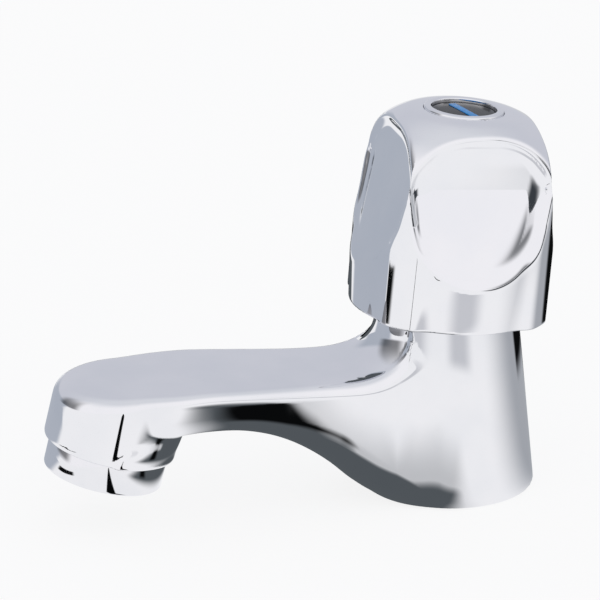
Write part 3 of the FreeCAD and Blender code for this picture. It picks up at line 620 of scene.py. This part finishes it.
# %% [markdown]
# The finishes. A tap like this is cast and machined in brass, polished and plated with nickel and chrome.
# Each finish is made of nodes that work in the object's own coordinates, which Blender gives in metres,
# so a pattern that is 12 mm wide on the real tap is 12 mm wide here. The small functions below add a
# node, feed its inputs and mix colours.
# %% Node helpers
EVEN = (1, 1, 1)


def linear(code):
    """A written sRGB colour as the linear values that the nodes take."""
    parts = [int(code[i:i + 2], 16) / 255 for i in (1, 3, 5)]
    return [*(p / 12.92 if p <= 0.04045 else ((p + 0.055) / 1.055) ** 2.4 for p in parts), 1.0]


def plug(tree, value, socket):
    """Feeds a socket from another socket, or sets it to a number or a colour."""
    if isinstance(value, bpy.types.NodeSocket):
        tree.links.new(value, socket)
    else:
        socket.default_value = value


def add(tree, kind, *values, **settings):
    """Adds a node with its settings and feeds its first inputs; returns its first output."""
    node = tree.nodes.new(kind)
    for key, value in settings.items():
        setattr(node, key, value)
    for socket, value in zip(node.inputs, values):
        plug(tree, value, socket)
    return node.outputs[0]


def math_of(tree, operation, *values):
    return add(tree, "ShaderNodeMath", *values, operation=operation)


def fade(tree, value, low, high, start=0.0, end=1.0):
    """A soft step: start below low, end above high."""
    return add(tree, "ShaderNodeMapRange", value, low, high, start, end, interpolation_type="SMOOTHSTEP")


def blend(tree, share, first, second):
    """Mixes two colours; a share of 1 gives the second."""
    node = tree.nodes.new("ShaderNodeMix")
    node.data_type = "RGBA"
    plug(tree, share, node.inputs[0])
    plug(tree, first, node.inputs[6])
    plug(tree, second, node.inputs[7])
    return node.outputs[2]


def object_place(tree):
    return tree.nodes.new("ShaderNodeTexCoord").outputs["Object"]


def grain(tree, size, detail, stretch=EVEN):
    """Cloudy noise whose patches are about size mm wide; stretch makes them longer along an axis."""
    shrink = [1 / (size * MM * s) for s in stretch]
    scaled = add(tree, "ShaderNodeVectorMath", object_place(tree), shrink, operation="MULTIPLY")
    noise = tree.nodes.new("ShaderNodeTexNoise")
    noise.inputs["Scale"].default_value = 1.0
    noise.inputs["Detail"].default_value = detail
    tree.links.new(scaled, noise.inputs["Vector"])
    return noise.outputs[0]


def turned_marks(tree, pitch):
    """Fine rings round the upright axis, pitch mm apart, as a lathe tool leaves them."""
    wave = tree.nodes.new("ShaderNodeTexWave")
    wave.bands_direction = "Z"
    wave.inputs["Scale"].default_value = math.pi / (10 * pitch * MM)
    wave.inputs["Distortion"].default_value = 0.6
    wave.inputs["Detail"].default_value = 2.0
    tree.links.new(object_place(tree), wave.inputs["Vector"])
    return wave.outputs[1]


def finish(name, colours, cloud, roughness, relief, metallic=0.0, turned=False, stretch=EVEN, **constants):
    """A finish: two colours mixed by clouds, a roughness span, and a fine relief.

    cloud is the size of the clouds in mm, and the relief is its pattern's size and depth in mm.
    """
    made = bpy.data.materials.new(name)
    made.use_nodes = True
    tree = made.node_tree
    shader = tree.nodes["Principled BSDF"]
    clouds = fade(tree, grain(tree, cloud, 3.0), 0.3, 0.7)
    tree.links.new(blend(tree, clouds, linear(colours[0]), linear(colours[1])), shader.inputs["Base Color"])
    # Wear comes in smaller patches than the tint
    wear = grain(tree, cloud * 0.6, 2.0)
    tree.links.new(fade(tree, wear, 0.25, 0.75, *roughness), shader.inputs["Roughness"])
    size, depth = relief
    bump = tree.nodes.new("ShaderNodeBump")
    bump.inputs["Strength"].default_value = 1.0
    bump.inputs["Distance"].default_value = depth * MM
    pattern = turned_marks(tree, size) if turned else grain(tree, size, 3.0, stretch)
    tree.links.new(pattern, bump.inputs["Height"])
    tree.links.new(bump.outputs[0], shader.inputs["Normal"])
    shader.inputs["Metallic"].default_value = metallic
    for key, value in constants.items():
        shader.inputs[key.replace("_", " ")].default_value = value
    return made


def dress(item, made):
    """Gives a piece one finish and takes away what it wore."""
    item.data.materials.clear()
    item.data.materials.append(made)


print("middle grey, as the nodes take it:", [round(part, 3) for part in linear("#808080")])

# %% [markdown]
# Chrome is the look of the whole tap. It is a mirror, a little bluish, and what tells it from a perfect
# mirror is a very slight waviness of the polished casting under it and a faint haze where a cloth has
# rubbed it. The clouds are wide and the relief is some thousandths of a millimetre deep, so that the
# reflections stay calm.
#
# The hidden pieces get the finishes of their real materials, so that the tap also looks right when it is
# taken apart.
# %% Finishes
FINISHES = {
    # A bright mirror with the wide, slow waves of a hand-polished casting
    "chrome_casting": finish("Chrome plate on cast brass", ("#F3F3F5", "#EDEEF1"), 22, (0.02, 0.04),
                             (18, 0.004), metallic=1.0),
    # The same plate on a thinner piece, which shows smaller and flatter waves
    "chrome_knob": finish("Chrome plate on the knob", ("#F3F3F5", "#EFF0F3"), 16, (0.02, 0.035),
                          (14, 0.002), metallic=1.0),
    # Turned before plating, so it is truer, but rubbed duller by fingers and wiping
    "chrome_trim": finish("Chrome plate on turned rings", ("#F1F1F3", "#ECEDF0"), 9, (0.03, 0.05),
                          (6, 0.001), metallic=1.0),
    # Warm yellow metal with rings from the tool, drawn twice as coarse as real ones so that they show
    "bare_brass": finish("Turned brass", ("#D2AE62", "#B88F4A"), 7, (0.24, 0.4), (0.35, 0.01),
                         metallic=1.0, turned=True),
    # Grey metal with short grinding lines, which draw its highlights out
    "stainless": finish("Stainless steel", ("#C9CACC", "#B7B9BC"), 5, (0.2, 0.32), (0.5, 0.004),
                        metallic=1.0, stretch=(8, 1, 1)),
    # Nearly black and dull, with a fine grain from its mould
    "black_rubber": finish("Black rubber", ("#1B1B1D", "#28282A"), 2.5, (0.6, 0.8), (0.3, 0.02)),
    # Brick red and papery, with fibres that lie flat
    "red_fibre": finish("Pressed red fibre", ("#8E3527", "#A84C38"), 1.2, (0.75, 0.9), (0.25, 0.03),
                        stretch=(5, 5, 1)),
    # Moulded plastics with a soft sheen
    "white_acetal": finish("White acetal", ("#ECEBE5", "#E2E1DA"), 6, (0.32, 0.45), (0.8, 0.004)),
    "grey_acetal": finish("Grey acetal", ("#A9ADB1", "#9A9EA3"), 6, (0.35, 0.5), (0.8, 0.004)),
    # Poured enamel: deep black with small sharp lights, and a clear blue that is a little softer
    "black_gloss": finish("Black gloss enamel", ("#0B0C0E", "#131417"), 4, (0.1, 0.2), (5, 0.002),
                          Specular_IOR_Level=0.15),
    "cold_blue": finish("Blue enamel", ("#1F83CC", "#2A90D6"), 2, (0.25, 0.4), (1.5, 0.004)),
}
print("finishes:", [made.name for made in FINISHES.values()])

# %% [markdown]
# Here every new piece says which moving body it rides on, which finish it wears and which plain CAD piece
# it stands for. The tail and its thread belong to the casting, but no plating reaches them, so they are
# bare brass.
# %% Placing the new pieces
for item, moves_with, slot, replaced in (
        (body, "body", "chrome_casting", ["tap_body"]),
        (tail, "body", "bare_brass", []),
        (thread, "body", "bare_brass", []),
        (knob, "knob", "chrome_knob", ["handle_shell"]),
        (collar, "body", "chrome_trim", ["nozzle_collar"]),
        (bezel, "knob", "chrome_trim", ["index_bezel"]),
        (disc, "knob", "black_gloss", ["index_disc"]),
        (bar, "knob", "cold_blue", ["index_mark"])):
    dress(item, FINISHES[slot])
    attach(item, moves_with)
    if replaced:
        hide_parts(*replaced)
    print(item.name, "rides on", moves_with, "and stands for", replaced or "no piece")

# %% [markdown]
# The pieces inside the tap and under the basin keep their CAD shape. They are small and mostly hidden, so
# they only get their finish.
# %% Finishes of the CAD pieces
NODE_SLOTS = {
    "chrome_casting": "tap_body",
    "bare_brass": "valve_seat headwork_bonnet spindle plunger backnut",
    "red_fibre": "bonnet_gasket",
    "black_rubber": "spindle_o_rings jumper_washer aerator_washer base_seal deck_washer",
    "white_acetal": "thrust_washer handle_insert",
    "stainless": "spindle_circlip washer_screw screw_washer handle_screw aerator_screens thrust_plate",
    "chrome_knob": "handle_shell",
    "chrome_trim": "index_bezel nozzle_collar",
    "black_gloss": "index_disc",
    "cold_blue": "index_mark",
    "grey_acetal": "aerator_cartridge flow_straightener",
}
for slot, names in NODE_SLOTS.items():
    for name in names.split():
        dress(nodes[name], FINISHES[slot])
print("pieces without a finish:", [name for name, node in nodes.items() if not node.data.materials])

# %% [markdown]
# Chrome has hardly any colour of its own. What it shows is the room, so the room decides whether it looks
# like chrome. The photographed tap seems to stand in a white tent with dark cards near it, which give the
# dark edges of the knob and the thin dark line on the nozzle; the dark band under the spout is a painted
# shadow on the ground under it.
#
# Both the tent and the ground are painted by masks, which are 1 on a card and 0 beside it, with soft
# edges.
# %% Masks
WHITE, PALE_GREY, DARK_GREY, CHARCOAL, BLACK = "#FFFFFF", "#B1B7C2", "#3C4045", "#26282B", "#0C0D0E"


def inside(tree, angle, middle, half, soft):
    """1 where an angle is near a middle and 0 beyond half its spread, with soft ends, in degrees."""
    turned = math_of(tree, "SUBTRACT", angle, math.radians(middle))
    off = math_of(tree, "ABSOLUTE", math_of(tree, "WRAP", turned, math.pi, -math.pi))
    return fade(tree, off, math.radians(half - soft), math.radians(half + soft), 1.0, 0.0)


def shared(tree, mask, *others):
    """What all the masks cover."""
    for other in others:
        mask = math_of(tree, "MULTIPLY", mask, other)
    return mask


def layer(tree, below, colour, *masks):
    """Lays a colour over what is there, as far as all its masks reach."""
    return blend(tree, shared(tree, *masks), below, linear(colour))


print("colours of the cards:", PALE_GREY, DARK_GREY, CHARCOAL, BLACK)

# %% [markdown]
# The camera sees plain white, and mirrors see the walls of the tent, which are brighter towards the
# camera. Two dark cards and a grey one stand on the ground and thin out upwards. The light stays at
# strength 1, so a colour renders about as it is written.
# %% The tent
WALL_BACK, WALL_FRONT, CEILING = "#CDCFD8", "#FAF9FC", "#DDDFE5"

scene = bpy.context.scene
world = bpy.data.worlds.new("Photo tent")
scene.world = world
world.use_nodes = True
sky = world.node_tree
sky.nodes.clear()
split = sky.nodes.new("ShaderNodeSeparateXYZ")
sky.links.new(sky.nodes.new("ShaderNodeTexCoord").outputs["Generated"], split.inputs[0])
right, away, upward = split.outputs
# Both angles are in radians; the bearing is counted from the side to which the spout points
bearing = math_of(sky, "ARCTAN2", right, math_of(sky, "MULTIPLY", away, -1.0))
height = math_of(sky, "ARCSINE", upward)


def across_wall(middle, half, soft):
    return inside(sky, bearing, middle, half, soft)


def above(level, soft):
    return fade(sky, height, math.radians(level - soft), math.radians(level + soft))


def gone_by(low, high, strength=1.0):
    """Thins out upwards, from a strength at low to nothing at high, in degrees."""
    return fade(sky, height, math.radians(low), math.radians(high), strength, 0.0)


walls = layer(sky, linear(WALL_BACK), WALL_FRONT, across_wall(75, 95, 28))
walls = layer(sky, walls, PALE_GREY, across_wall(-52, 30, 10), gone_by(8, 16))
walls = layer(sky, walls, CHARCOAL, across_wall(-18, 20, 9), above(1, 2), gone_by(8, 64, 0.75))
walls = layer(sky, walls, DARK_GREY, across_wall(135, 13, 7), above(0, 2), gone_by(2, 15, 0.8))
room = layer(sky, walls, CEILING, above(55, 25))
rays = sky.nodes.new("ShaderNodeLightPath")
shown = layer(sky, room, WHITE, rays.outputs["Is Camera Ray"])
background = add(sky, "ShaderNodeBackground", shown, 1.0)
sky.links.new(background, sky.nodes.new("ShaderNodeOutputWorld").inputs[0])
print("nodes that paint the tent:", len(sky.nodes))

# %% [markdown]
# The ground is white too, with cards lying on it that only mirrors see. A place on it is told in two ways:
# by how far east and north of the tap it lies, or by its heading and distance. The heading is counted
# from the side to which the spout points.
# %% The ground
GROUND_SIZE = 8

bpy.ops.mesh.primitive_plane_add(size=GROUND_SIZE, location=(0, 0, 0))
floor = bpy.context.object
floor.name = "floor"
# The ground's finish holds a painted shadow under the spout, which only mirrors see
ground_finish = bpy.data.materials.new("White ground with painted spout shadow")
ground_finish.use_nodes = True
ground = ground_finish.node_tree
ground.nodes.clear()
place = object_place(ground)
split = ground.nodes.new("ShaderNodeSeparateXYZ")
ground.links.new(place, split.inputs[0])
east, north = split.outputs[0], split.outputs[1]
heading = math_of(ground, "ARCTAN2", east, math_of(ground, "MULTIPLY", north, -1.0))
distance = add(ground, "ShaderNodeVectorMath", place, operation="LENGTH").node.outputs["Value"]


def start_at(value, low, high):
    """Nothing below low and full strength above high, in mm."""
    return fade(ground, value, low * MM, high * MM)


def end_at(value, low, high, strength=1.0):
    """Full strength below low and nothing above high, in mm."""
    return fade(ground, value, low * MM, high * MM, strength, 0.0)


def span(value, low, high, soft):
    """1 between two places on the ground, in mm, with soft ends."""
    return shared(ground, start_at(value, low - soft, low + soft), end_at(value, high - soft, high + soft))


print("side of the ground, m:", GROUND_SIZE)

# %% [markdown]
# The cards are sectors round the tap. Where they lie was worked out by following the camera's rays from
# the tap to the ground, so that each gives one of the dark or grey fields that the photograph shows.
# %% Cards on the ground
GROUND, GREY_GROUND, LIGHT_GREY = "#F8F8FA", "#A8ABB1", "#CDCED3"
FAR_OUT = 9000
CARDS = (
    # colour, (heading, half its spread, softness) in degrees, (from, to, softness) in mm
    (GREY_GROUND, (-160, 46, 30), None),
    (PALE_GREY, (-38, 24, 4), (105, 420, 10)),
    (PALE_GREY, (-50, 30, 5), (400, FAR_OUT, 20)),
    (LIGHT_GREY, (91, 14, 9), (143, 190, 8)),
    (DARK_GREY, (131, 17, 7), (600, FAR_OUT, 100)),
    (BLACK, (-126, 40, 3), (130, 400, 15)),
    (BLACK, (2, 11, 2), (248, 335, 3)),
    (BLACK, (-110, 21, 3), (0, 140, 15)),
)

tone = linear(GROUND)
for colour, headings, distances in CARDS:
    masks = [inside(ground, heading, *headings)]
    if distances:
        masks.append(span(distance, *distances))
    tone = layer(ground, tone, colour, *masks)
print("cards on the ground:", len(CARDS))

# %% [markdown]
# The spout's shadow on the ground is painted as dark patches close under it, which give its dark band in
# mirrors: a wide one under its middle, a softer one under its root, and one whose corner is cut off. Beside
# them lies a dark strip, and a thin black tape in front gives the dark line on the nozzle.
# %% Painted shadow and tape
# The first colour is the painted shadow of the spout on the ground
SPOUT_SHADOW, STRIP, TAPE = "#555A5E", "#0A0B0C", "#060708"
STRIP_SLANT, TAPE_SLANT = -0.7, 0.158


def either(first, second):
    return math_of(ground, "MAXIMUM", first, second)


def slanted(value, other, slant):
    """A place along a line that runs askew to the tap."""
    return math_of(ground, "ADD", value, math_of(ground, "MULTIPLY", other, slant))


# Painted shadow of the spout on the ground, in three patches, seen only by mirrors
wide_shadow = shared(ground, end_at(east, 45, 85), span(north, -68, -35, 6))
soft_shadow = shared(ground, end_at(east, 40, 88, 0.42), span(north, -40, -2, 8))
cut_shadow = shared(ground, end_at(east, 32, 44), span(north, -64, -3, 5),
                 either(start_at(east, 12, 22), start_at(north, -50, -42)))
tone = layer(ground, tone, SPOUT_SHADOW, either(either(wide_shadow, soft_shadow), cut_shadow))
strip = span(slanted(east, north, STRIP_SLANT), 69, 82, 4)
tone = layer(ground, tone, STRIP, strip, span(north, -61, -33, 4))
tape = span(slanted(north, east, TAPE_SLANT), -100, -90, 0.7)
tone = layer(ground, tone, TAPE, span(east, 21, 420, 1), tape)
print("nodes that paint the ground:", len(ground.nodes))

# %% [markdown]
# A mirror sees all these colours as they are written. The camera sees white, of which a small share is
# lit by the tent, so that the tap keeps a faint shadow.
# %% Finish of the ground
GROUND_GLOW = 0.85

rays = ground.nodes.new("ShaderNodeLightPath")
seen, mirrored = rays.outputs["Is Camera Ray"], rays.outputs["Is Glossy Ray"]
glow = add(ground, "ShaderNodeEmission", layer(ground, tone, WHITE, seen), 1.0)
matt = add(ground, "ShaderNodeBsdfDiffuse", linear(WHITE))
own_light = either(math_of(ground, "MULTIPLY", seen, GROUND_GLOW), mirrored)
lit = add(ground, "ShaderNodeMixShader", own_light, matt, glow)
ground.links.new(lit, ground.nodes.new("ShaderNodeOutputMaterial").inputs[0])
dress(floor, ground_finish)
print("share of the ground's own light that the camera sees:", GROUND_GLOW)

# %% [markdown]
# The camera stands where the photograph was taken from: its bearing round the tap is counted from the
# side to which the spout points. It is aimed so that the foot of the tap falls on the same point of the
# picture, which is counted from the picture's upper left corner.
# %% Camera
BEARING, RISE = math.radians(75), math.radians(20)
PIXELS_PER_METRE, PICTURE, FOOT_PIXEL = 3450.0, 600, (447, 481.5)
CAMERA_FAR, SENSOR = 0.9, 36

across = Vector((math.cos(BEARING), math.sin(BEARING), 0))
back = Vector((math.sin(BEARING) * math.cos(RISE), -math.cos(BEARING) * math.cos(RISE), math.sin(RISE)))
upright = back.cross(across)
aim = (across * (-(FOOT_PIXEL[0] - PICTURE / 2) / PIXELS_PER_METRE)
       + upright * ((FOOT_PIXEL[1] - PICTURE / 2) / PIXELS_PER_METRE))
eye = bpy.data.cameras.new("eye")
eye.sensor_width = SENSOR
eye.lens = SENSOR * PIXELS_PER_METRE * CAMERA_FAR / PICTURE
eye.clip_start, eye.clip_end = 0.05, 20
camera = bpy.data.objects.new("camera", eye)
bpy.context.collection.objects.link(camera)
turned = Matrix((across, upright, back)).transposed().to_4x4()
camera.matrix_world = Matrix.Translation(aim + back * CAMERA_FAR) @ turned
scene.camera = camera
scene.view_settings.view_transform = "Standard"
print("lens, mm:", round(eye.lens, 1))
